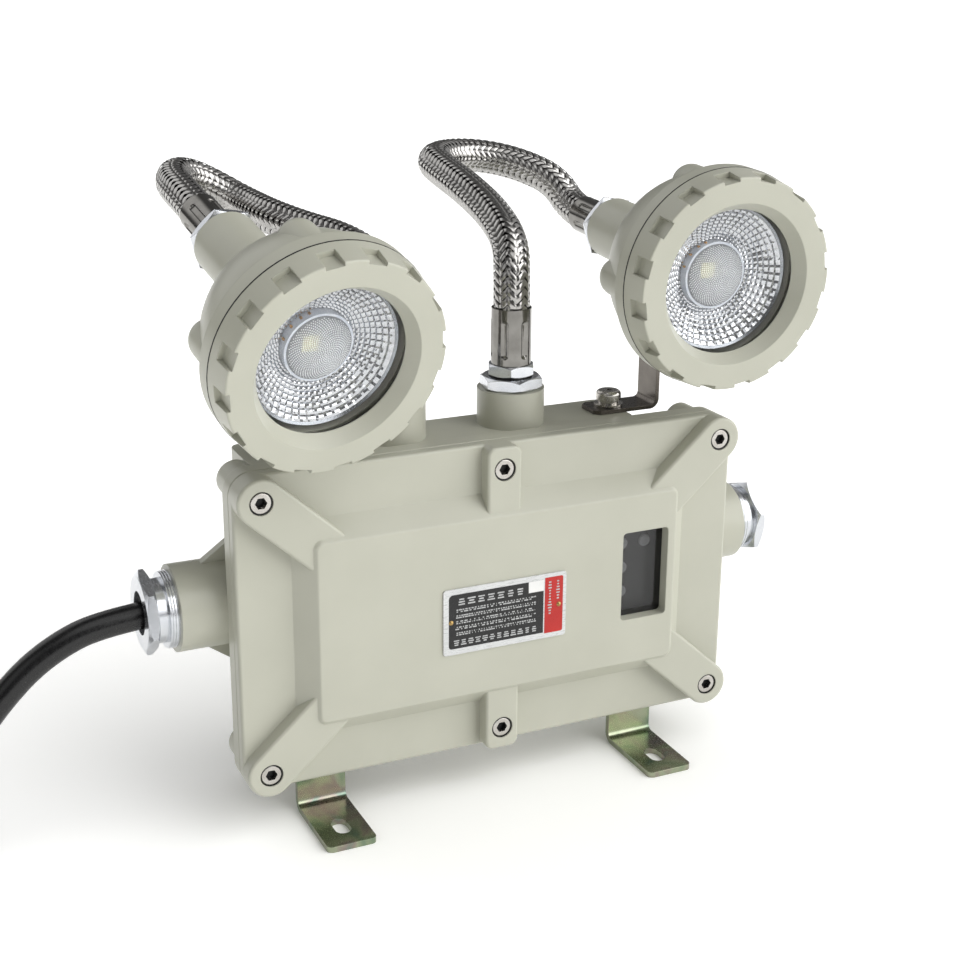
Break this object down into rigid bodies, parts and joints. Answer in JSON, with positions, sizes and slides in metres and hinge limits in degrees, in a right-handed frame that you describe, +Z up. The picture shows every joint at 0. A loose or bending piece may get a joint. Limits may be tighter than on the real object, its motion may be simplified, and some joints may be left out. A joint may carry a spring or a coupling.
{
  "type": "emergency exit light",
  "caption": "Twin-head emergency light: bolted cast case on floor feet, two swivelling lamps on bent brackets, braided hoses, side glands and a supply cable.",
  "frame": {"origin": "on the floor under the middle of the rigid lamp's box", "axes": "+X across the lid towards the plugged gland, +Y from the lid to the back of the case, +Z up"},
  "size_m": [0.5965, 0.2405, 0.3098],
  "materials": {
    "cast_paint": "pebble-grey powder coat on cast aluminium, fine orange peel",
    "seal_rubber": "black moulded rubber",
    "steel_screws": "stainless steel, turned",
    "bracket_steel": "bent stainless strip, dull mill finish",
    "bright_zinc": "bright zinc plate on turned steel",
    "ferrule_steel": "pressed stainless sleeve, polished",
    "hose_braid": "braided stainless ribbon over a corrugated hose",
    "yellow_zinc": "yellow-passivated zinc plate, iridescent",
    "window_glass": "thick tempered glass, smoke tint",
    "lamp_glass": "clear tempered glass, polished",
    "reflector_mirror": "metallised moulded reflector",
    "lens_plastic": "frosted moulded lens",
    "led_board": "round metal circuit board with one light chip",
    "black_plastic": "black moulded plastic",
    "indicator_plastic": "smoke-coloured indicator lenses",
    "nameplate_aluminium": "printed aluminium plate, black and red fields",
    "battery_wrap": "shrink-wrapped battery pack",
    "strap_steel": "zinc-plated steel strap",
    "circuit_laminate": "green circuit laminate",
    "transformer_tape": "taped transformer",
    "cable_rubber": "matte black rubber sheath",
    "core_plastic": "coloured core insulation"
  },
  "bodies": {
    "root": {"battery": "battery_wrap", "battery_strap": "strap_steel", "board_screws": "steel_screws", "cable": "cable_rubber", "cable_coil": "cable_rubber", "cable_cores": "core_plastic", "case": "cast_paint", "circuit_board": "circuit_laminate", "fitting_washers": "seal_rubber", "foot_screws": "steel_screws", "front_foot_left": "yellow_zinc", "front_foot_right": "yellow_zinc", "gland_bodies": "bright_zinc", "gland_nuts": "bright_zinc", "gland_plug": "seal_rubber", "gland_seal": "seal_rubber", "hose_adapters": "bright_zinc", "hose_left": "hose_braid", "hose_right": "hose_braid", "hose_swivels": "bright_zinc", "indicator_board": "black_plastic", "indicator_lights": "indicator_plastic", "lid": "cast_paint", "lid_screws": "steel_screws", "lid_seal": "seal_rubber", "nameplate": "nameplate_aluminium", "nameplate_rivets": "steel_screws", "pan_screws": "steel_screws", "pan_washers": "steel_screws", "rear_foot_left": "yellow_zinc", "rear_foot_right": "yellow_zinc", "retainer_screws": "steel_screws", "roof_ferrules": "ferrule_steel", "terminal_block": "black_plastic", "transformer": "transformer_tape", "window_glass": "window_glass", "window_retainer": "black_plastic"},
    "left_bracket": {"bracket_left": "bracket_steel"},
    "right_bracket": {"bracket_right": "bracket_steel"},
    "left_head": {"head_bezel_left": "cast_paint", "head_ferrule_left": "ferrule_steel", "head_gasket_left": "seal_rubber", "head_glass_left": "lamp_glass", "head_housing_left": "cast_paint", "led_board_left": "led_board", "lens_left": "lens_plastic", "neck_nut_left": "bright_zinc", "reflector_left": "reflector_mirror", "tilt_screw_left": "steel_screws"},
    "right_head": {"head_bezel_right": "cast_paint", "head_ferrule_right": "ferrule_steel", "head_gasket_right": "seal_rubber", "head_glass_right": "lamp_glass", "head_housing_right": "cast_paint", "led_board_right": "led_board", "lens_right": "lens_plastic", "neck_nut_right": "bright_zinc", "reflector_right": "reflector_mirror", "tilt_screw_right": "steel_screws"}
  },
  "joints": [
    {"name": "left_pan", "type": "hinge", "parent": "root", "child": "left_bracket", "pos_m": [-0.076, 0.00661, 0.181], "axis": [0, 0, 1], "range_deg": [-30, 25], "deforming": ["hose_left"]},
    {"name": "left_tilt", "type": "hinge", "parent": "left_bracket", "child": "left_head", "pos_m": [-0.10404, 0.00317, 0.2141], "axis": [-0.9925, -0.1219, 0], "range_deg": [-5, 30], "deforming": ["hose_left"]},
    {"name": "right_pan", "type": "hinge", "parent": "root", "child": "right_bracket", "pos_m": [0.08, 0.00661, 0.181], "axis": [0, 0, 1], "range_deg": [-30, 30], "deforming": ["hose_right"]},
    {"name": "right_tilt", "type": "hinge", "parent": "right_bracket", "child": "right_head", "pos_m": [0.10825, 0.00661, 0.2141], "axis": [-1, 0, 0], "range_deg": [-12, 30], "deforming": ["hose_right"]}
  ]
}
